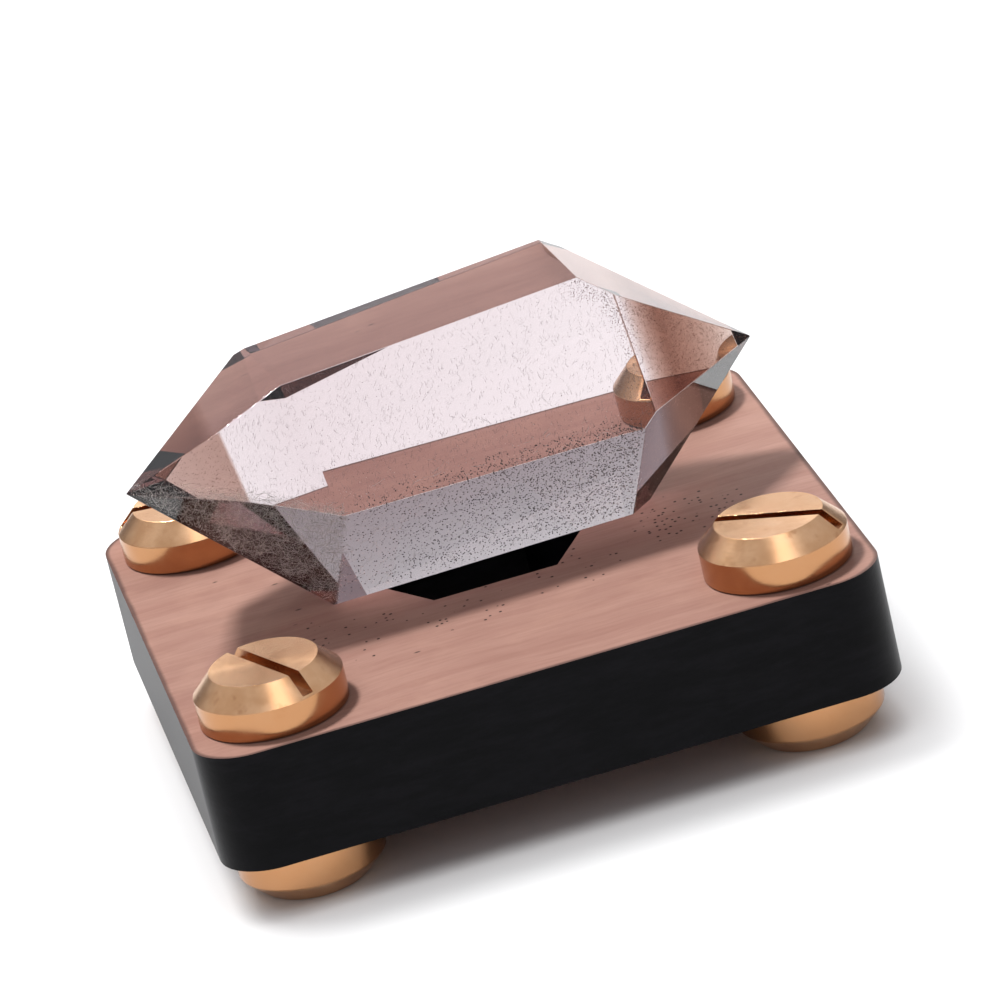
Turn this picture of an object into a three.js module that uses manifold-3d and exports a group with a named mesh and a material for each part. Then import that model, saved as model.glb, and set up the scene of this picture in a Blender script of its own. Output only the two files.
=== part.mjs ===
// A double terminated smoky quartz crystal lying on its small stand: a wooden block with a
// hexagonal window, held between slotted brass posts that are also its feet.
// Millimetres, +Z up. The origin is on the surface that the feet stand on, under the
// middle of the block. +X runs along the block's longer side, -Y is its front.
import * as THREE from 'three';
import Module from 'manifold-3d';
import { mergeVertices } from 'three/addons/utils/BufferGeometryUtils.js';

// Block
const BLOCK_LENGTH = 46;
const BLOCK_DEPTH = 43.7;
const BLOCK_THICKNESS = 8.1;
const CORNER_RADIUS = 3.7;

// Hexagonal window through the block, with two of its sides along X
const WINDOW_SIDE = 8.5;
const WINDOW_Y = 1.6;

// Brass posts, one near each corner: a slotted screw from above, a foot from below
const POST_INSET = 6;
const HEAD_RADIUS = 4.93;
const HEAD_TOP_RADIUS = 3.6;
const HEAD_RIM_HEIGHT = 1.95;
const HEAD_HEIGHT = 3.3;
const FOOT_RIM_HEIGHT = 2.4;
const FOOT_HEIGHT = 3.75;
const BARREL_RADIUS = 2.5;
const BARREL_WALL = 0.7;
const BARREL_FLOOR = 1.2;
const SHANK_RADIUS = 1.5;
const SHANK_LENGTH = 6;
const SLOT_WIDTH = 0.8;
const SLOT_DEPTH = 1.2;

// Clearances: round a post in its hole, and between pieces that rest on each other
const HOLE_GAP = 0.3;
const REST_GAP = 0.1;

const ROUND_SEGMENTS = 48;
const CORNER_SEGMENTS = 8;

const BLOCK_BOTTOM = FOOT_HEIGHT + REST_GAP;
const BLOCK_TOP = BLOCK_BOTTOM + BLOCK_THICKNESS;

// Posts: place in the block and the angle that each screw's slot stopped at
const POSTS = [
  { name: 'front_left', side: [-1, -1], slotAngle: -66 },
  { name: 'front_right', side: [1, -1], slotAngle: -31 },
  { name: 'back_left', side: [-1, 1], slotAngle: -12 },
  { name: 'back_right', side: [1, 1], slotAngle: 48 },
];

// Crystal: middle and tips, measured from the block's top at the middle of the stand
const CRYSTAL_MIDDLE = new THREE.Vector3(0, 2.6, 8.3);
const CRYSTAL_TIPS = {
  left: new THREE.Vector3(-22, -3.8, 12.3),
  right: new THREE.Vector3(21.9, 4.1, 7.9),
};

// Prism faces and a shoulder. turn: degrees from straight up towards the front. lean: degrees towards +X.
// reach: the face's distance from the crystal's middle.
const PRISM_FACES = [
  { name: 'top', turn: 0, lean: -2.7, reach: 8.2 },
  { name: 'upper front', turn: 60, lean: 2.5, reach: 7.5 },
  { name: 'lower front', turn: 122, lean: 1.7, reach: 8 },
  { name: 'bottom', turn: 180, lean: 0, reach: 8.3 },
  { name: 'lower back', turn: -123.5, lean: 6, reach: 4.8 },
  { name: 'upper back', turn: -62, lean: -6, reach: 8.4 },
  { name: 'shoulder behind the left end', turn: -128, lean: -21, reach: 8.5 },
];

// End faces: each one passes through its end's tip
const END_FACES = [
  { tip: 'left', turn: 1.5, lean: -17.5 },
  { tip: 'left', turn: 61, lean: -5 },
  { tip: 'left', turn: 118.5, lean: -20 },
  { tip: 'left', turn: 178, lean: -46.5 },
  { tip: 'left', turn: -42, lean: -44 },
  { tip: 'right', turn: -3, lean: 38 },
  { tip: 'right', turn: 58, lean: 43 },
  { tip: 'right', turn: 129, lean: 39 },
  { tip: 'right', turn: -174, lean: 37.5 },
  { tip: 'right', turn: -118, lean: 34 },
  { tip: 'right', turn: -65, lean: 38.5 },
];

// Corners nearer to each other than this are one corner
const SAME_CORNER = 0.01;

const wasm = await Module();
wasm.setup();

const materials = {
  quartz: () => new THREE.MeshStandardMaterial({
    color: 0xb5a8a3,
    roughness: 0.05,
    metalness: 0,
    transparent: true,
    opacity: 0.6,
  }),
  walnut: () => new THREE.MeshStandardMaterial({ color: 0xb48572, roughness: 0.75, metalness: 0 }),
  brass: () => new THREE.MeshStandardMaterial({ color: 0xc9975a, roughness: 0.28, metalness: 1 }),
};

function named(name, geometry, material) {
  const mesh = new THREE.Mesh(geometry, material());
  mesh.name = name;
  return mesh;
}

// Cuts: a closed geometry becomes a solid and back
function toSolid(geometry) {
  const bare = geometry.clone();
  bare.deleteAttribute('normal');
  bare.deleteAttribute('uv');
  const merged = mergeVertices(bare, 1e-4);
  return new wasm.Manifold(new wasm.Mesh({
    numProp: 3,
    vertProperties: new Float32Array(merged.attributes.position.array),
    triVerts: new Uint32Array(merged.index.array),
  }));
}

function toGeometry(solid) {
  const mesh = solid.getMesh();
  const geometry = new THREE.BufferGeometry();
  geometry.setAttribute('position', new THREE.BufferAttribute(mesh.vertProperties, 3));
  geometry.setIndex(new THREE.BufferAttribute(mesh.triVerts, 1));
  geometry.computeVertexNormals();
  return geometry;
}

// A solid of revolution about Z from [radius, height] points that start and end on the axis
function turned(profile) {
  const points = profile.map(([radius, height]) => new THREE.Vector2(radius, height));
  const geometry = new THREE.LatheGeometry(points, ROUND_SEGMENTS);
  geometry.rotateX(Math.PI / 2);
  return geometry;
}

// Stand block
function roundedRectangle(length, depth, radius) {
  const x = length / 2;
  const y = depth / 2;
  const shape = new THREE.Shape();
  shape.moveTo(-x + radius, -y);
  shape.lineTo(x - radius, -y);
  shape.absarc(x - radius, -y + radius, radius, -Math.PI / 2, 0, false);
  shape.lineTo(x, y - radius);
  shape.absarc(x - radius, y - radius, radius, 0, Math.PI / 2, false);
  shape.lineTo(-x + radius, y);
  shape.absarc(-x + radius, y - radius, radius, Math.PI / 2, Math.PI, false);
  shape.lineTo(-x, -y + radius);
  shape.absarc(-x + radius, -y + radius, radius, Math.PI, Math.PI * 1.5, false);
  return shape;
}

function hexagonalHole(side, y) {
  const corners = [];
  for (let k = 0; k < 6; k += 1) {
    const angle = -k * Math.PI / 3;
    corners.push(new THREE.Vector2(side * Math.cos(angle), y + side * Math.sin(angle)));
  }
  return new THREE.Path(corners);
}

function roundHole(x, y, radius) {
  const corners = [];
  for (let k = 0; k < ROUND_SEGMENTS; k += 1) {
    const angle = -k * 2 * Math.PI / ROUND_SEGMENTS;
    corners.push(new THREE.Vector2(x + radius * Math.cos(angle), y + radius * Math.sin(angle)));
  }
  return new THREE.Path(corners);
}

function postPlace(post) {
  return [
    post.side[0] * (BLOCK_LENGTH / 2 - POST_INSET),
    post.side[1] * (BLOCK_DEPTH / 2 - POST_INSET),
  ];
}

function makeBlock() {
  const outline = roundedRectangle(BLOCK_LENGTH, BLOCK_DEPTH, CORNER_RADIUS);
  outline.holes.push(hexagonalHole(WINDOW_SIDE, WINDOW_Y));
  for (const post of POSTS) {
    const [x, y] = postPlace(post);
    outline.holes.push(roundHole(x, y, BARREL_RADIUS + HOLE_GAP));
  }
  const geometry = new THREE.ExtrudeGeometry(outline, {
    depth: BLOCK_THICKNESS,
    bevelEnabled: false,
    curveSegments: CORNER_SEGMENTS,
  });
  geometry.translate(0, 0, BLOCK_BOTTOM);
  return named('stand_block', geometry, materials.walnut);
}

// Screw: a low slotted head with a wide chamfer, and a shank that goes down into the foot's barrel
function makeScrew(post) {
  const body = turned([
    [0, -SHANK_LENGTH],
    [SHANK_RADIUS, -SHANK_LENGTH],
    [SHANK_RADIUS, 0],
    [HEAD_RADIUS, 0],
    [HEAD_RADIUS, HEAD_RIM_HEIGHT],
    [HEAD_TOP_RADIUS, HEAD_HEIGHT],
    [0, HEAD_HEIGHT],
  ]);
  const slot = new THREE.BoxGeometry(HEAD_RADIUS * 3, SLOT_WIDTH, SLOT_DEPTH * 2);
  slot.rotateZ(THREE.MathUtils.degToRad(post.slotAngle));
  slot.translate(0, 0, HEAD_HEIGHT);
  const geometry = toGeometry(toSolid(body).subtract(toSolid(slot)));
  const [x, y] = postPlace(post);
  geometry.translate(x, y, BLOCK_TOP + REST_GAP);
  return named(`screw_${post.name}`, geometry, materials.brass);
}

// Foot: the same head upside down under the block, with a bored barrel that stands up in the hole
function makeFoot(post) {
  const barrelTop = BLOCK_TOP - REST_GAP;
  const boreFloor = FOOT_HEIGHT + BARREL_FLOOR;
  const boreRadius = BARREL_RADIUS - BARREL_WALL;
  const geometry = turned([
    [0, 0],
    [HEAD_TOP_RADIUS, 0],
    [HEAD_RADIUS, FOOT_HEIGHT - FOOT_RIM_HEIGHT],
    [HEAD_RADIUS, FOOT_HEIGHT],
    [BARREL_RADIUS, FOOT_HEIGHT],
    [BARREL_RADIUS, barrelTop],
    [boreRadius, barrelTop],
    [boreRadius, boreFloor],
    [0, boreFloor],
  ]);
  const [x, y] = postPlace(post);
  geometry.translate(x, y, 0);
  return named(`foot_${post.name}`, geometry, materials.brass);
}

// Crystal: a face is the plane { normal, offset }, with the crystal on the side where
// normal . point <= offset
function faceNormal({ turn, lean }) {
  const t = THREE.MathUtils.degToRad(turn);
  const l = THREE.MathUtils.degToRad(lean);
  return new THREE.Vector3(Math.sin(l), -Math.cos(l) * Math.sin(t), Math.cos(l) * Math.cos(t));
}

function crystalFaces() {
  const prism = PRISM_FACES.map((face) => {
    const normal = faceNormal(face);
    return { normal, offset: normal.dot(CRYSTAL_MIDDLE) + face.reach };
  });
  const ends = END_FACES.map((face) => {
    const normal = faceNormal(face);
    return { normal, offset: normal.dot(CRYSTAL_TIPS[face.tip]) };
  });
  return [...prism, ...ends];
}

function meetingPoint(a, b, c) {
  const bc = new THREE.Vector3().crossVectors(b.normal, c.normal);
  const ca = new THREE.Vector3().crossVectors(c.normal, a.normal);
  const ab = new THREE.Vector3().crossVectors(a.normal, b.normal);
  const volume = a.normal.dot(bc);
  if (Math.abs(volume) < 1e-6) {
    return null;
  }
  const point = bc.multiplyScalar(a.offset);
  point.addScaledVector(ca, b.offset);
  point.addScaledVector(ab, c.offset);
  return point.divideScalar(volume);
}

// Corners: where three faces meet and no other face cuts the point away
function crystalCorners(faces) {
  const corners = [];
  for (let i = 0; i < faces.length; i += 1) {
    for (let j = i + 1; j < faces.length; j += 1) {
      for (let k = j + 1; k < faces.length; k += 1) {
        const point = meetingPoint(faces[i], faces[j], faces[k]);
        const kept = point && faces.every((face) => face.normal.dot(point) <= face.offset + 1e-6);
        if (kept && !corners.some((corner) => corner.distanceTo(point) < SAME_CORNER)) {
          corners.push(point);
        }
      }
    }
  }
  return corners;
}

// The corners that lie on a face, as numbers, anticlockwise seen from outside
function cornersRoundFace(face, corners) {
  const onFace = [];
  corners.forEach((corner, index) => {
    if (Math.abs(face.normal.dot(corner) - face.offset) < SAME_CORNER) {
      onFace.push(index);
    }
  });
  const middle = new THREE.Vector3();
  onFace.forEach((index) => middle.addScaledVector(corners[index], 1 / onFace.length));
  const across = new THREE.Vector3().subVectors(corners[onFace[0]], middle).normalize();
  const up = new THREE.Vector3().crossVectors(face.normal, across);
  const angleOf = (index) => {
    const arm = new THREE.Vector3().subVectors(corners[index], middle);
    return Math.atan2(arm.dot(up), arm.dot(across));
  };
  return onFace.sort((a, b) => angleOf(a) - angleOf(b));
}

function makeCrystal() {
  const faces = crystalFaces();
  const corners = crystalCorners(faces);
  const triangles = [];
  for (const face of faces) {
    const ring = cornersRoundFace(face, corners);
    for (let k = 1; k + 1 < ring.length; k += 1) {
      triangles.push(ring[0], ring[k], ring[k + 1]);
    }
  }
  const positions = corners.flatMap((corner) => corner.toArray());
  const geometry = new THREE.BufferGeometry();
  geometry.setAttribute('position', new THREE.Float32BufferAttribute(positions, 3));
  geometry.setIndex(triangles);
  geometry.computeVertexNormals();
  geometry.translate(0, 0, BLOCK_TOP + REST_GAP);
  return named('smoky_quartz_crystal', geometry, materials.quartz);
}

const stand = new THREE.Group();
stand.add(makeBlock());
for (const post of POSTS) {
  stand.add(makeScrew(post));
  stand.add(makeFoot(post));
}

const part = new THREE.Group();
part.add(makeCrystal());
part.add(stand);

export default part;
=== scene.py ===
import math
import random

import bmesh
import bpy
from mathutils import Matrix, Vector


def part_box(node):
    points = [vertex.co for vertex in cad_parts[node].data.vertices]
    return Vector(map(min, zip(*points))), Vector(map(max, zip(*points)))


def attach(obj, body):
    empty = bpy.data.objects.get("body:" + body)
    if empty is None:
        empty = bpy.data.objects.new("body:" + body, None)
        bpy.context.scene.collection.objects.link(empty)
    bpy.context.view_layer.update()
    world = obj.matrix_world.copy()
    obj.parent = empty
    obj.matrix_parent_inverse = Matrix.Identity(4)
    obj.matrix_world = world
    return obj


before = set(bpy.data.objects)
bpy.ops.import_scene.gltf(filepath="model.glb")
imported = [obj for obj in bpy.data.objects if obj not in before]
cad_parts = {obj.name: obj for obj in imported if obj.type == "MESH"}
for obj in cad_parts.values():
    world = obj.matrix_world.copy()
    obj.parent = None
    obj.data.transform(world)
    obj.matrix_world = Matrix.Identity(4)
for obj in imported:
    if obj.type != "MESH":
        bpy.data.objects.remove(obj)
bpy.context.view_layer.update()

MM = 0.001


def rgb(red, green, blue):
    """A linear colour from 0 to 255 screen values."""
    def linear(v):
        v /= 255
        return v / 12.92 if v <= 0.04045 else ((v + 0.055) / 1.055) ** 2.4
    return (linear(red), linear(green), linear(blue), 1.0)


# Camera
CAMERA_AZIMUTH = -7.15
CAMERA_ELEVATION = 21.663
CAMERA_ROLL = -13.417
CAMERA_DISTANCE = 431.69 * MM
CAMERA_TARGET = Vector((3.28, 8.07, 11.95)) * MM
LENS = 228.7
SENSOR = 36.0
NEAREST = 0.01
FARTHEST = 20

# Lamps: direction towards the lamp, distance, diameter and power
KEY_DIRECTION = Vector((-0.25, 0.37, 1.0))
LAMPS = {
    "key": (KEY_DIRECTION, 1.3, 0.22, 22.5),
    "soft": (Vector((-0.5, 0.5, 1.0)), 1.2, 0.8, 2.5),
    "floor_key": (KEY_DIRECTION, 1.3, 0.6, 11.0),
    "floor_fill": (Vector((0.0, 0.0, 1.0)), 1.2, 1.6, 25.0),
    "back": (Vector((0.45, 0.75, 0.62)), 0.095, 0.04, 0.025),
    "sheen": (Vector((0.12, 0.92, 0.42)), 1.2, 0.5, 0.4),
    "top_light": (Vector((0.1, -0.37, 0.92)), 1.2, 0.45, 0.8),
}
FLOOR_SIZE = 3.0
FLOOR_COLOUR = (0.55, 0.55, 0.55, 1)
FLOOR_ROUGHNESS = 0.7

# Surroundings: a grey room near the horizon and a bright ceiling, by height from 0 to 1
ROOM_COLOUR = (0.24, 0.235, 0.245, 1.0)
CEILING_COLOUR = (0.62, 0.62, 0.65, 1.0)
ROOM_HEIGHT = 0.08
CEILING_HEIGHT = 0.55

# Stand
BLOCK = "stand_block"
CRYSTAL = "smoky_quartz_crystal"
block_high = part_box(BLOCK)[1]
POST_INSET = 6 * MM
POST_X = block_high.x - POST_INSET
POST_Y = block_high.y - POST_INSET
BLOCK_TOP = block_high.z
CORNER_RADIUS = 3.7 * MM

# Wood: colours of the top, and of the sooty cut sides
PLAIN_WOOD = rgb(138, 103, 92)
PALE_WOOD = rgb(149, 115, 103)
FIBRE_COLOUR = rgb(120, 85, 74)
MOTTLE_COLOUR = rgb(160, 125, 110)
RIM_COLOUR = rgb(60, 44, 42)
PORE_COLOUR = rgb(36, 25, 24)
DARK_SPECK_COLOUR = rgb(40, 27, 25)
SOOT_COLOUR = rgb(3, 3, 5)
WORN_SOOT_COLOUR = rgb(12, 11, 15)
TOP_ROUGHNESS = 0.62
SIDE_ROUGHNESS = 0.38
WOOD_SPECULAR = 0.08

# Wood: how far the grain wanders, and features per metre along the grain and across it
GRAIN_WANDER = 1.2 * MM
LONG_GRAIN = (45.0, 420.0, 420.0)
FINE_GRAIN = (260.0, 2600.0, 2600.0)
PORE_GRAIN = (500.0, 1100.0, 1100.0)
SOOT_GRAIN = (300.0, 300.0, 1200.0)
DARK_SPECK_GRAIN = 2600.0

# Wood: the dark line round the top, by distance from the edge
RIM_UNEVEN = 0.12 * MM
RIM_START = 0.10 * MM
RIM_END = 0.42 * MM

# Dark specks on the block's top, in patches round the crystal: place in millimetres, radius and share of
# grains that show
DARK_SPECK_PATCHES = (
    (13.5, -3.5, 5.5, 0.42),
    (-11.0, -7.5, 6.0, 0.16),
    (-3.0, -8.5, 5.0, 0.22),
    (5.0, -7.0, 5.0, 0.22),
    (-17.0, -10.0, 6.0, 0.12),
)

# Brass
PLAIN_BRASS = rgb(218, 168, 124)
BRIGHT_BRASS = rgb(232, 186, 144)
STAINED_BRASS = rgb(176, 114, 72)
# The walls' colour is painted shade and a painted reflection of the wood
SHADED_WALL_BRASS = rgb(178, 128, 88)
SMOOTHEST_BRASS = 0.17
ROUGHEST_BRASS = 0.27
TURNED_GLOSS = 0.7
RINGS_PER_METRE = 9000.0
RING_DEPTH = 0.006 * MM

# Quartz: smoky all through, and browner zones in both ends that don't bend the light
QUARTZ_IOR = 1.544
SMOKE_COLOUR = (0.74, 0.66, 0.68, 1.0)
SMOKE_DENSITY = 125.0
ZONE_IOR = 1.0
ZONE_COLOUR = (0.60, 0.36, 0.24, 1.0)
ZONE_DENSITIES = {"left": 140.0, "right": 400.0}

# The zones are drawn in from the faces, and their inner boundary runs this way into the stone
ZONE_SCALE = 0.985
ZONE_DEPTH_DIRECTION = Vector((0.06, 0.91, -0.42))

# Softened edges: width, and the sharpest angle that is left as it is
BLOCK_BEVEL = 0.14 * MM
BRASS_BEVEL = 0.10 * MM
CRYSTAL_BEVEL = 0.05 * MM
STAND_ANGLE = 32
CRYSTAL_ANGLE = 12
SAME_PLACE = 0.001 * MM
FLAT_ANGLE = 0.5
BEVEL_SEGMENTS = 2
FLAT_FACE_WEIGHT = 100

# Crystal faces, by the way they look: turned from straight up to the front, leaning to +X
FACE_LOOKS = {
    "upper_front": (60, 2.5),
    "lower_front": (122, 1.7),
    "top": (0, -2.7),
    "left_upper": (61, -5),
    "left_lower": (118.5, -20),
    "left_top": (1.5, -17.5),
    "right_top": (-3, 38),
    "right_upper": (58, 43),
    "right_lower": (129, 39),
}
SAME_LOOK = 0.995

# Inclusions: colour and roughness, and the clear skin of the crystal over them
SEED = 7
CLEAR_SKIN = 0.06 * MM
DARK_GRAIN = (rgb(66, 48, 44), 0.6)
GREY_GRAIN = (rgb(132, 118, 120), 0.5)
PALE_GRAIN = (rgb(240, 236, 232), 0.3)
BROWN_GRAIN = (rgb(120, 88, 74), 0.6)

# Specks: face, count, then depth and size in millimetres
CLEAR_FACE_SPECKS = ("upper_front", 1100, (0.2, 4), (0.016, 0.042))
CROWDED_SPECKS = ("lower_front", 9000, (0.15, 1.5), (0.03, 0.085))
GLINTS = ("lower_front", 900, (0.2, 3), (0.015, 0.045))
END_GLINTS = (
    ("left_upper", 60, (0.2, 3), (0.012, 0.035)),
    ("left_lower", 60, (0.2, 3), (0.012, 0.035)),
    ("right_upper", 60, (0.2, 3), (0.012, 0.035)),
)
HAZE = ("left_lower", 9000, (0.15, 1.0), (0.016, 0.036))
BROWN_FLAKES = (
    ("right_upper", 2800, (0.15, 2), (0.015, 0.05)),
    ("right_top", 2800, (0.15, 2), (0.015, 0.05)),
    ("right_lower", 500, (0.15, 2), (0.015, 0.05)),
    ("left_upper", 500, (0.15, 2), (0.015, 0.05)),
)

# The crowded specks grow denser towards +X: none at the start, all of them after the run
CROWD_START = -12.0
CROWD_RUN = 26.0

# Hairs: face, count, then length, width and depth in millimetres, spread of angle, bend, and angle to the
# crystal's length
GREY_HAIRS = ("upper_front", 2200, (0.10, 0.42), (0.005, 0.010), (0.1, 2.5), 25, 0.5, 75)
PALE_NEEDLES = ("lower_front", 260, (0.3, 1.2), (0.008, 0.018), (0.2, 2.5), 50, 0.5, 60)
PALE_NET = ("left_lower", 1300, (0.3, 1.6), (0.006, 0.013), (0.12, 1.2), 90, 1.2, 90)
HAIR_POINTS = 5
HAIR_TILT = 0.25
HAIR_SIDES = 3
HAIR_END_WIDTH = 0.25


# Node helpers

class Graph:
    """A material's node tree, with short calls to add and join nodes."""

    def __init__(self, name):
        self.material = bpy.data.materials.new(name)
        self.material.use_nodes = True
        self.tree = self.material.node_tree
        self.tree.nodes.clear()

    def add(self, kind, *inputs, **settings):
        node = self.tree.nodes.new(kind)
        for key, value in settings.items():
            setattr(node, key, value)
        for index, value in enumerate(inputs):
            if value is not None:
                self.put(node.inputs[index], value)
        return node

    def put(self, socket, value):
        if isinstance(value, bpy.types.NodeSocket):
            self.tree.links.new(value, socket)
        elif isinstance(value, bpy.types.Node):
            self.tree.links.new(value.outputs[0], socket)
        else:
            socket.default_value = value

    def math(self, operation, a, b=0.0):
        return self.add("ShaderNodeMath", a, b, operation=operation).outputs[0]

    def vector(self, operation, a, b=None):
        return self.add("ShaderNodeVectorMath", a, b, operation=operation).outputs[0]

    def length(self, a):
        return self.add("ShaderNodeVectorMath", a, operation="LENGTH").outputs["Value"]

    def join(self, x, y, z):
        return self.add("ShaderNodeCombineXYZ", x, y, z).outputs[0]

    def ramp(self, value, low, high, start=0.0, end=1.0, smooth=True):
        kind = "SMOOTHSTEP" if smooth else "LINEAR"
        node = self.add("ShaderNodeMapRange", value, low, high, start, end, interpolation_type=kind)
        return node.outputs[0]

    def mix(self, factor, a, b):
        node = self.add("ShaderNodeMix", data_type="RGBA", blend_type="MIX")
        self.put(node.inputs[0], factor)
        self.put(node.inputs[6], a)
        self.put(node.inputs[7], b)
        return node.outputs[2]

    def noise(self, vector, scale, detail=3.0, roughness=0.5, distortion=0.0):
        node = self.add("ShaderNodeTexNoise")
        self.put(node.inputs["Vector"], vector)
        self.put(node.inputs["Scale"], scale)
        self.put(node.inputs["Detail"], detail)
        self.put(node.inputs["Roughness"], roughness)
        self.put(node.inputs["Distortion"], distortion)
        return node.outputs[0]

    def cells(self, vector, scale):
        node = self.add("ShaderNodeTexVoronoi", feature="F1")
        self.put(node.inputs["Vector"], vector)
        self.put(node.inputs["Scale"], scale)
        return node

    def bump(self, height, strength, distance):
        node = self.add("ShaderNodeBump")
        self.put(node.inputs["Strength"], strength)
        self.put(node.inputs["Distance"], distance)
        self.put(node.inputs["Height"], height)
        return node.outputs[0]

    def principled(self, **inputs):
        node = self.add("ShaderNodeBsdfPrincipled")
        for key, value in inputs.items():
            self.put(node.inputs[key.replace("_", " ")], value)
        self.output = self.add("ShaderNodeOutputMaterial")
        self.tree.links.new(node.outputs[0], self.output.inputs["Surface"])


# Materials

def clear_material(name, ior, colour, density):
    """Clear all through: it bends light by its index, and takes it away by depth."""
    g = Graph(name)
    g.principled(Base_Color=(1, 1, 1, 1), Roughness=0.0, IOR=ior, Transmission_Weight=1.0)
    volume = g.add("ShaderNodeVolumeAbsorption")
    volume.inputs["Color"].default_value = colour
    volume.inputs["Density"].default_value = density
    g.tree.links.new(volume.outputs[0], g.output.inputs["Volume"])
    return g.material


def edge_distance(g, parts):
    """Distance inside the block's outline, from its straight sides and round corners."""
    inner_x = block_high.x - CORNER_RADIUS
    inner_y = block_high.y - CORNER_RADIUS
    over_x = g.math("MAXIMUM", g.math("SUBTRACT", g.math("ABSOLUTE", parts.outputs[0]), inner_x), 0.0)
    over_y = g.math("MAXIMUM", g.math("SUBTRACT", g.math("ABSOLUTE", parts.outputs[1]), inner_y), 0.0)
    over = g.length(g.join(over_x, over_y, 0.0))
    return g.math("SUBTRACT", CORNER_RADIUS, over)


def wood_material():
    g = Graph("dark_edged_walnut")
    place = g.add("ShaderNodeNewGeometry")
    position = place.outputs["Position"]
    parts = g.add("ShaderNodeSeparateXYZ", position)
    normal = g.add("ShaderNodeSeparateXYZ", place.outputs["True Normal"])
    flat = g.ramp(g.math("ABSOLUTE", normal.outputs[2]), 0.6, 0.9)

    # Grain runs along X
    wander = g.ramp(g.noise(position, 60.0, 3.0, 0.5), 0.0, 1.0, -GRAIN_WANDER, GRAIN_WANDER, False)
    shifted = g.vector("ADD", position, g.join(0.0, wander, 0.0))
    bands = g.noise(g.vector("MULTIPLY", shifted, LONG_GRAIN), 1.0, 3.0, 0.55, 0.4)
    fibres = g.noise(g.vector("MULTIPLY", shifted, FINE_GRAIN), 1.0, 4.0, 0.65, 0.2)
    mottle = g.noise(position, 220.0, 4.0, 0.6)
    top = g.mix(g.ramp(bands, 0.3, 0.7), PLAIN_WOOD, PALE_WOOD)
    top = g.mix(g.ramp(fibres, 0.35, 0.75, 0.0, 0.35), top, FIBRE_COLOUR)
    top = g.mix(g.ramp(mottle, 0.45, 0.75, 0.0, 0.35), top, MOTTLE_COLOUR)

    # Thin dark rim round the top
    inside = edge_distance(g, parts)
    uneven = g.math("ADD", inside, g.ramp(mottle, 0.0, 1.0, -RIM_UNEVEN, RIM_UNEVEN, False))
    top = g.mix(g.ramp(uneven, RIM_START, RIM_END, 0.75, 0.0), top, RIM_COLOUR)

    # Open pores
    pores = g.cells(g.vector("MULTIPLY", shifted, PORE_GRAIN), 1.0)
    pore = g.ramp(pores.outputs["Distance"], 0.05, 0.16, 1.0, 0.0)
    seldom = g.ramp(g.noise(position, 330.0, 2.0), 0.60, 0.66)
    top = g.mix(g.math("MULTIPLY", g.math("MULTIPLY", pore, seldom), 0.8), top, PORE_COLOUR)

    # Dark specks, denser towards the middle of each patch
    grains = g.cells(position, DARK_SPECK_GRAIN)
    grain = g.ramp(grains.outputs["Distance"], 0.22, 0.34, 1.0, 0.0)
    for x, y, radius, share in DARK_SPECK_PATCHES:
        away = g.length(g.vector("SUBTRACT", position, (x * MM, y * MM, BLOCK_TOP)))
        patch = g.ramp(away, radius * MM * 0.3, radius * MM, share, 0.0)
        chance = g.add("ShaderNodeSeparateColor", grains.outputs["Color"]).outputs[0]
        chosen = g.math("LESS_THAN", chance, patch)
        top = g.mix(g.math("MULTIPLY", grain, chosen), top, DARK_SPECK_COLOUR)

    soot = g.noise(g.vector("MULTIPLY", position, SOOT_GRAIN), 1.0, 5.0, 0.7)
    side = g.mix(g.ramp(soot, 0.35, 0.7), SOOT_COLOUR, WORN_SOOT_COLOUR)
    relief = g.math("ADD", g.math("MULTIPLY", fibres, 0.6), g.math("MULTIPLY", soot, 0.4))
    g.principled(
        Base_Color=g.mix(flat, side, top),
        Roughness=g.ramp(flat, 0.0, 1.0, SIDE_ROUGHNESS, TOP_ROUGHNESS, False),
        Normal=g.bump(relief, 0.35, 0.05 * MM),
        Specular_IOR_Level=WOOD_SPECULAR,
    )
    return g.material


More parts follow.
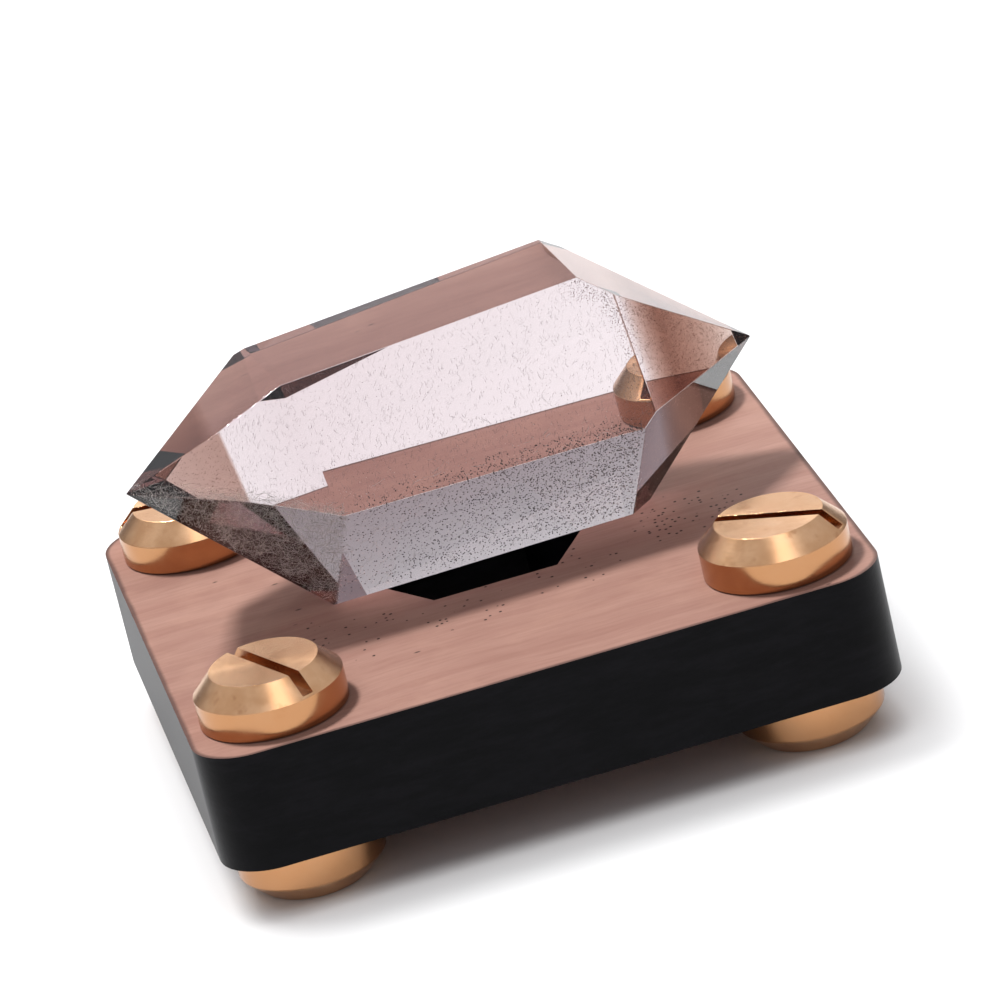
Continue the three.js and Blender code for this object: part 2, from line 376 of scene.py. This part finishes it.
def brass_material():
    """Turned brass: tool rings round each post make the gloss run round the post's axis."""
    g = Graph("turned_brass")
    place = g.add("ShaderNodeNewGeometry")
    position = place.outputs["Position"]
    parts = g.add("ShaderNodeSeparateXYZ", position)
    from_axis_x = g.math("SUBTRACT", g.math("ABSOLUTE", parts.outputs[0]), POST_X)
    from_axis_y = g.math("SUBTRACT", g.math("ABSOLUTE", parts.outputs[1]), POST_Y)
    along_x = g.math("MULTIPLY", from_axis_x, g.math("SIGN", parts.outputs[0]))
    along_y = g.math("MULTIPLY", from_axis_y, g.math("SIGN", parts.outputs[1]))
    outward = g.join(along_x, along_y, 0.0)
    around = g.vector("CROSS_PRODUCT", (0.0, 0.0, 1.0), outward)

    ring_place = g.math("MULTIPLY", g.length(outward), RINGS_PER_METRE)
    ring_height = g.math("MULTIPLY", parts.outputs[2], RINGS_PER_METRE)
    rings = g.noise(g.join(ring_place, ring_height, 0.0), 1.0, 2.0, 0.6)
    cloud = g.noise(position, 500.0, 3.0, 0.55)
    stain = g.noise(position, 900.0, 4.0, 0.6)
    colour = g.mix(g.ramp(cloud, 0.35, 0.7), PLAIN_BRASS, BRIGHT_BRASS)
    colour = g.mix(g.ramp(stain, 0.58, 0.72, 0.0, 0.35), colour, STAINED_BRASS)

    # Painted shade: the turned walls are painted darker and more orange than the tops, for their shade
    # and the wood they reflect
    normal = g.add("ShaderNodeSeparateXYZ", place.outputs["True Normal"])
    wall_shade = g.ramp(g.math("ABSOLUTE", normal.outputs[2]), 0.25, 0.5, 0.85, 0.0)
    g.principled(
        Base_Color=g.mix(wall_shade, colour, SHADED_WALL_BRASS),
        Metallic=1.0,
        Roughness=g.ramp(cloud, 0.3, 0.75, SMOOTHEST_BRASS, ROUGHEST_BRASS),
        Anisotropic=TURNED_GLOSS,
        Tangent=g.vector("NORMALIZE", around),
        Normal=g.bump(rings, 0.25, RING_DEPTH),
    )
    return g.material


def floor_material():
    g = Graph("studio_floor")
    g.principled(Base_Color=FLOOR_COLOUR, Roughness=FLOOR_ROUGHNESS)
    return g.material


def grain_material(name, colour, roughness):
    """A solid inclusion in the crystal."""
    g = Graph(name)
    place = g.add("ShaderNodeNewGeometry")
    shade = g.noise(place.outputs["Position"], 1500.0, 2.0)
    darker = tuple(v * 0.7 for v in colour[:3]) + (1.0,)
    g.principled(Base_Color=g.mix(g.ramp(shade, 0.35, 0.65), darker, colour), Roughness=roughness)
    return g.material


# Edges

def smooth_group():
    """Geometry nodes that shade a mesh smooth all over, and drop the normals it came with."""
    group = bpy.data.node_groups.new("shade_smooth", "GeometryNodeTree")
    group.interface.new_socket("Geometry", in_out="INPUT", socket_type="NodeSocketGeometry")
    group.interface.new_socket("Geometry", in_out="OUTPUT", socket_type="NodeSocketGeometry")
    start = group.nodes.new("NodeGroupInput")
    drop = group.nodes.new("GeometryNodeRemoveAttribute")
    drop.inputs["Name"].default_value = "custom_normal"
    last = drop
    group.links.new(start.outputs[0], drop.inputs[0])
    for domain in ("FACE", "EDGE"):
        shade = group.nodes.new("GeometryNodeSetShadeSmooth")
        shade.domain = domain
        group.links.new(last.outputs[0], shade.inputs[0])
        last = shade
    end = group.nodes.new("NodeGroupOutput")
    group.links.new(last.outputs[0], end.inputs[0])
    return group


def soften_edges(node, width, group, sharpest):
    weld = node.modifiers.new("join_corners", "WELD")
    weld.merge_threshold = SAME_PLACE
    flats = node.modifiers.new("join_flats", "DECIMATE")
    flats.decimate_type = "DISSOLVE"
    flats.angle_limit = math.radians(FLAT_ANGLE)
    smooth = node.modifiers.new("shade_smooth", "NODES")
    smooth.node_group = group
    bevel = node.modifiers.new("soft_edges", "BEVEL")
    bevel.width = width
    bevel.segments = BEVEL_SEGMENTS
    bevel.limit_method = "ANGLE"
    bevel.angle_limit = math.radians(sharpest)
    weighted = node.modifiers.new("flat_faces", "WEIGHTED_NORMAL")
    weighted.weight = FLAT_FACE_WEIGHT
    weighted.keep_sharp = False


# Inclusions

def face_direction(turn, lean):
    turn, lean = math.radians(turn), math.radians(lean)
    return Vector((math.sin(lean), -math.cos(lean) * math.sin(turn), math.cos(lean) * math.cos(turn)))


def add_to_crystal(name, mesh, material):
    mesh.materials.append(material)
    piece = bpy.data.objects.new(name, mesh)
    bpy.context.scene.collection.objects.link(piece)
    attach(piece, "root")


class CrystalFace:
    """One flat face of the crystal's solid: its triangles and the way it looks."""

    def __init__(self, mesh, direction):
        facing = [p for p in mesh.polygons if p.normal.dot(direction) > SAME_LOOK]
        self.triangles = [[mesh.vertices[i].co.copy() for i in p.vertices] for p in facing]
        self.areas = [p.area for p in facing]
        self.normal = facing[0].normal.copy()
        along = Vector((1, 0, 0))
        self.along = (along - self.normal * along.dot(self.normal)).normalized()
        self.across = self.normal.cross(self.along)

    def place(self, rng, depth):
        """A random point below the face, at a depth drawn from a range in millimetres."""
        depth = rng.uniform(*depth) * MM
        a, b, c = rng.choices(self.triangles, self.areas)[0]
        u, v = rng.random(), rng.random()
        if u + v > 1:
            u, v = 1 - u, 1 - v
        return a + (b - a) * u + (c - a) * v - self.normal * depth


class Inclusions:
    """Small solids gathered into one mesh, each kept inside the crystal."""

    def __init__(self, rng, faces, planes):
        self.rng, self.crystal_faces, self.planes = rng, faces, planes
        self.points, self.faces = [], []

    def inside(self, point, size):
        return all(n.dot(point) < d - CLEAR_SKIN - size for n, d in self.planes)

    def speck(self, centre, size):
        """A rough six-cornered grain."""
        if not self.inside(centre, size):
            return
        rng = self.rng
        start = len(self.points)
        turn = Vector((rng.gauss(0, 1), rng.gauss(0, 1), rng.gauss(0, 1))).normalized()
        side = turn.orthogonal().normalized()
        other = turn.cross(side)
        for axis in (turn, -turn, side, -side, other, -other):
            self.points.append(centre + axis * size * rng.uniform(0.6, 1.0))
        corners = ((0, 2, 4), (0, 4, 3), (0, 3, 5), (0, 5, 2), (1, 4, 2), (1, 3, 4), (1, 5, 3), (1, 2, 5))
        self.faces += [tuple(start + i for i in c) for c in corners]

    def specks(self, face, count, depth, size, crowded=False):
        for _ in range(count):
            point = self.crystal_faces[face].place(self.rng, depth)
            if crowded and self.rng.random() >= (point.x / MM - CROWD_START) / CROWD_RUN:
                continue
            self.speck(point, self.rng.uniform(*size) * MM)

    def fibre(self, path, width):
        """A thin three-sided thread that ends in points."""
        if not all(self.inside(p, width) for p in path):
            return
        start = len(self.points)
        last = len(path) - 1
        for i, point in enumerate(path):
            along = (path[min(i + 1, last)] - path[max(i - 1, 0)]).normalized()
            side = along.orthogonal().normalized()
            other = along.cross(side)
            swell = (1 - HAIR_END_WIDTH) * math.sin(math.pi * (i + 0.5) / (last + 1))
            size = width * (HAIR_END_WIDTH + swell)
            for k in range(HAIR_SIDES):
                angle = 2 * math.pi * k / HAIR_SIDES
                self.points.append(point + (side * math.cos(angle) + other * math.sin(angle)) * size)
        for i in range(last):
            ring = start + HAIR_SIDES * i
            for k in range(HAIR_SIDES):
                a, b = ring + k, ring + (k + 1) % HAIR_SIDES
                self.faces.append((a, b, b + HAIR_SIDES, a + HAIR_SIDES))
        end = start + HAIR_SIDES * last
        self.faces += [(start, start + 2, start + 1), (end, end + 1, end + 2)]

    def hairs(self, face, count, length, width, depth, spread, bend, upright):
        """Threads lying nearly in a face's plane, at an angle to the crystal's length."""
        rng, face = self.rng, self.crystal_faces[face]
        for _ in range(count):
            thread = rng.uniform(*length) * MM
            thickness = rng.uniform(*width) * MM
            centre = face.place(rng, depth)
            angle = math.radians(upright + rng.gauss(0, spread))
            heading = face.along * math.cos(angle) + face.across * math.sin(angle)
            heading = (heading + face.normal * rng.gauss(0, HAIR_TILT)).normalized()
            side = heading.cross(face.normal).normalized()
            curve = rng.gauss(0, bend)
            path = []
            for i in range(HAIR_POINTS):
                t = i / (HAIR_POINTS - 1) - 0.5
                path.append(centre + heading * thread * t + side * curve * thread * (t * t))
            self.fibre(path, thickness)

    def finish(self, name, material):
        mesh = bpy.data.meshes.new(name)
        mesh.from_pydata([p[:] for p in self.points], [], self.faces)
        mesh.validate()
        add_to_crystal(name, mesh, material)


def meeting_point(*faces):
    rows = Matrix([face.normal for face in faces])
    return rows.inverted() @ Vector([face.normal.dot(face.triangles[0][0]) for face in faces])


def add_zone(side, density, mesh, faces):
    """The end of the crystal past the edge of its upper front face, drawn in from the outside."""
    first = meeting_point(faces["upper_front"], faces[side + "_upper"], faces[side + "_top"])
    second = meeting_point(faces["upper_front"], faces[side + "_upper"], faces[side + "_lower"])
    cut = (second - first).cross(ZONE_DEPTH_DIRECTION).normalized()
    if cut.x * (1 if side == "right" else -1) < 0:
        cut = -cut
    form = bmesh.new()
    form.from_mesh(mesh)
    bmesh.ops.remove_doubles(form, verts=form.verts, dist=SAME_PLACE)
    middle = sum((v.co for v in form.verts), Vector()) / len(form.verts)
    for vertex in form.verts:
        vertex.co = middle + (vertex.co - middle) * ZONE_SCALE
    geometry = form.verts[:] + form.edges[:] + form.faces[:]
    bmesh.ops.bisect_plane(form, geom=geometry, plane_co=first, plane_no=cut, clear_inner=True)
    bmesh.ops.holes_fill(form, edges=form.edges)
    bmesh.ops.recalc_face_normals(form, faces=form.faces)
    name = "quartz_smoky_zone_" + side
    zone_mesh = bpy.data.meshes.new(name)
    form.to_mesh(zone_mesh)
    form.free()
    add_to_crystal(name, zone_mesh, clear_material("smoky_zone_" + side, ZONE_IOR, ZONE_COLOUR, density))


def add_inclusions():
    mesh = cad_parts[CRYSTAL].data
    planes = [(p.normal.copy(), p.normal.dot(p.center)) for p in mesh.polygons]
    faces = {name: CrystalFace(mesh, face_direction(*look)) for name, look in FACE_LOOKS.items()}
    for side, density in ZONE_DENSITIES.items():
        add_zone(side, density, mesh, faces)
    rng = random.Random(SEED)

    dark = Inclusions(rng, faces, planes)
    dark.specks(*CLEAR_FACE_SPECKS)
    dark.specks(*CROWDED_SPECKS, crowded=True)
    dark.finish("quartz_dark_specks", grain_material("dark_inclusion", *DARK_GRAIN))

    grey = Inclusions(rng, faces, planes)
    grey.hairs(*GREY_HAIRS)
    grey.finish("quartz_hairs", grain_material("grey_inclusion", *GREY_GRAIN))

    pale = Inclusions(rng, faces, planes)
    pale.specks(*GLINTS)
    pale.hairs(*PALE_NEEDLES)
    for group in END_GLINTS:
        pale.specks(*group)
    pale.hairs(*PALE_NET)
    pale.specks(*HAZE)
    pale.finish("quartz_needles", grain_material("pale_inclusion", *PALE_GRAIN))

    brown = Inclusions(rng, faces, planes)
    for group in BROWN_FLAKES:
        brown.specks(*group)
    brown.finish("quartz_brown_flakes", grain_material("brown_inclusion", *BROWN_GRAIN))


# Stage

def add_camera():
    azimuth, elevation, roll = (math.radians(v) for v in (CAMERA_AZIMUTH, CAMERA_ELEVATION, CAMERA_ROLL))
    back = Vector((
        math.sin(azimuth) * math.cos(elevation),
        -math.cos(azimuth) * math.cos(elevation),
        math.sin(elevation),
    ))
    level = Vector((math.cos(azimuth), math.sin(azimuth), 0))
    upright = back.cross(level)
    right = level * math.cos(roll) + upright * math.sin(roll)
    up = upright * math.cos(roll) - level * math.sin(roll)
    data = bpy.data.cameras.new("camera")
    data.lens = LENS
    data.sensor_width = SENSOR
    data.clip_start = NEAREST
    data.clip_end = FARTHEST
    camera = bpy.data.objects.new("camera", data)
    turn = Matrix((right, up, back)).transposed().to_4x4()
    camera.matrix_world = Matrix.Translation(CAMERA_TARGET + back * CAMERA_DISTANCE) @ turn
    bpy.context.scene.collection.objects.link(camera)
    bpy.context.scene.camera = camera


def gather(name, objects):
    group = bpy.data.collections.new(name)
    for item in objects:
        group.objects.link(item)
    return group


def add_lamp(name, lit=None, blockers=None):
    """A round area lamp. It can be kept to some objects, and its shadows to others."""
    direction, distance, size, power = LAMPS[name]
    data = bpy.data.lights.new(name, "AREA")
    data.shape = "DISK"
    data.size = size
    data.energy = power
    lamp = bpy.data.objects.new(name, data)
    lamp.location = direction.normalized() * distance
    lamp.rotation_mode = "QUATERNION"
    lamp.rotation_quaternion = direction.to_track_quat("Z", "Y")
    bpy.context.scene.collection.objects.link(lamp)
    if lit is not None:
        lamp.light_linking.receiver_collection = gather("lit_by_" + name, lit)
    if blockers is not None:
        lamp.light_linking.blocker_collection = blockers


def add_floor():
    half = FLOOR_SIZE / 2
    corners = [(-half, -half, 0), (half, -half, 0), (half, half, 0), (-half, half, 0)]
    mesh = bpy.data.meshes.new("floor")
    mesh.from_pydata(corners, [], [(0, 1, 2, 3)])
    floor = bpy.data.objects.new("floor", mesh)
    mesh.materials.append(floor_material())
    bpy.context.scene.collection.objects.link(floor)
    return floor


def add_world():
    """A grey room round the table that grows lighter towards the ceiling."""
    world = bpy.data.worlds.new("studio")
    bpy.context.scene.world = world
    world.use_nodes = True
    tree = world.node_tree
    background = tree.nodes["Background"]
    place = tree.nodes.new("ShaderNodeTexCoord")
    parts = tree.nodes.new("ShaderNodeSeparateXYZ")
    tree.links.new(place.outputs["Generated"], parts.inputs[0])
    height = tree.nodes.new("ShaderNodeMapRange")
    height.interpolation_type = "SMOOTHSTEP"
    height.inputs["From Min"].default_value = ROOM_HEIGHT
    height.inputs["From Max"].default_value = CEILING_HEIGHT
    tree.links.new(parts.outputs[2], height.inputs["Value"])
    shade = tree.nodes.new("ShaderNodeMix")
    shade.data_type = "RGBA"
    tree.links.new(height.outputs[0], shade.inputs[0])
    shade.inputs[6].default_value = ROOM_COLOUR
    shade.inputs[7].default_value = CEILING_COLOUR
    tree.links.new(shade.outputs[2], background.inputs[0])


add_camera()
add_world()
floor = add_floor()
bpy.context.scene.view_settings.view_transform = "Standard"

# Finishes
quartz = clear_material("smoky_quartz", QUARTZ_IOR, SMOKE_COLOUR, SMOKE_DENSITY)
wood, brass = wood_material(), brass_material()
smooth = smooth_group()
finishes = {CRYSTAL: (quartz, CRYSTAL_BEVEL, CRYSTAL_ANGLE), BLOCK: (wood, BLOCK_BEVEL, STAND_ANGLE)}
for name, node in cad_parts.items():
    finish, width, sharpest = finishes.get(name, (brass, BRASS_BEVEL, STAND_ANGLE))
    node.data.materials.clear()
    node.data.materials.append(finish)
    soften_edges(node, width, smooth, sharpest)
add_inclusions()

# The key and the soft lamp light the object
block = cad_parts[BLOCK]
fittings = [node for name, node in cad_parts.items() if name not in (CRYSTAL, BLOCK)]
add_lamp("key", list(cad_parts.values()))
add_lamp("soft")

# The floor has a softer key and a fill, so that the shadow round the stand stays pale
add_lamp("floor_key", [floor])
add_lamp("floor_fill", [floor])

# A near lamp brightens the wood behind the crystal, and two shine on the posts, also through the crystal
add_lamp("back", [block])
opaque = gather("opaque", [block] + fittings)
add_lamp("sheen", fittings, opaque)
add_lamp("top_light", fittings, opaque)
